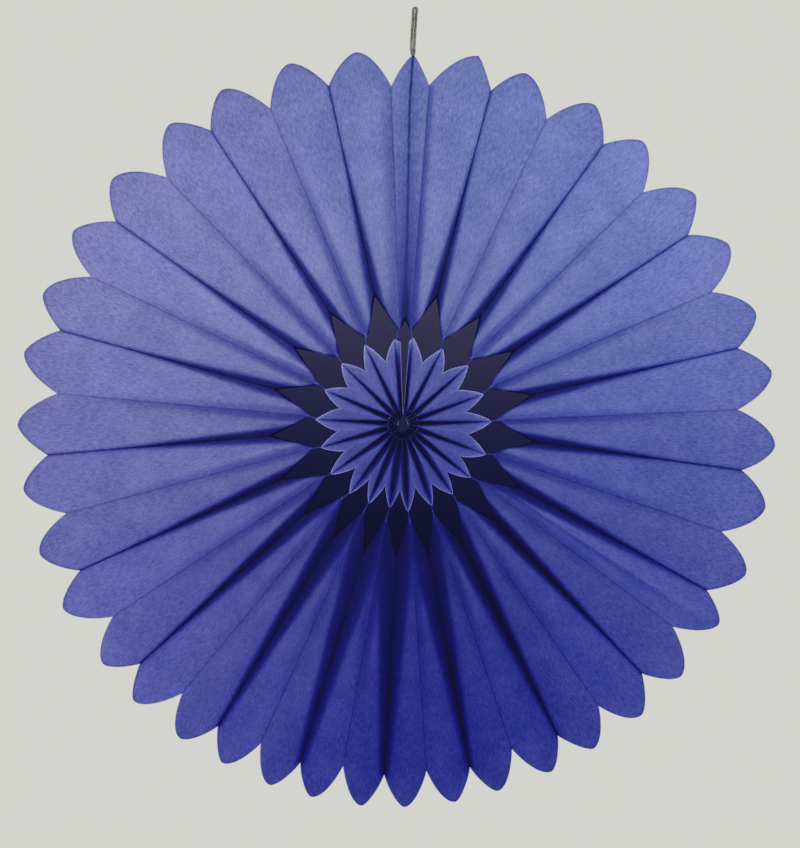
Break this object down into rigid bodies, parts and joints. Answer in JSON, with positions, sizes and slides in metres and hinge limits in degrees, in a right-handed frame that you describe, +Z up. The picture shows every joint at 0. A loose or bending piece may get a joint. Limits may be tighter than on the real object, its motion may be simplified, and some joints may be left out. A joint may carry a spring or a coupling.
{
  "type": "hanging paper fan rosette",
  "caption": "Round hanging decoration of pleated tissue paper with petal-cut edge, openings near the hub, a small inner rosette of leaves and a thread loop.",
  "frame": {"origin": "inside top of the hanging loop, where a pin or hook carries the fan", "axes": "-Y out of the front of the fan, along its hub axis; +Z up; +X to the right as seen from the front"},
  "size_m": [0.4, 0.0419, 0.423],
  "materials": {
    "tissue_paper": "matt, slightly translucent tissue",
    "foam_tape": "matt white foam",
    "lacing_thread": "twisted cotton",
    "loop_thread": "twisted cotton"
  },
  "bodies": {
    "root": {"pleated_paper": "tissue_paper", "seam_tape": "foam_tape", "centre_thread": "lacing_thread", "hanging_loop": "loop_thread"}
  },
  "joints": []
}
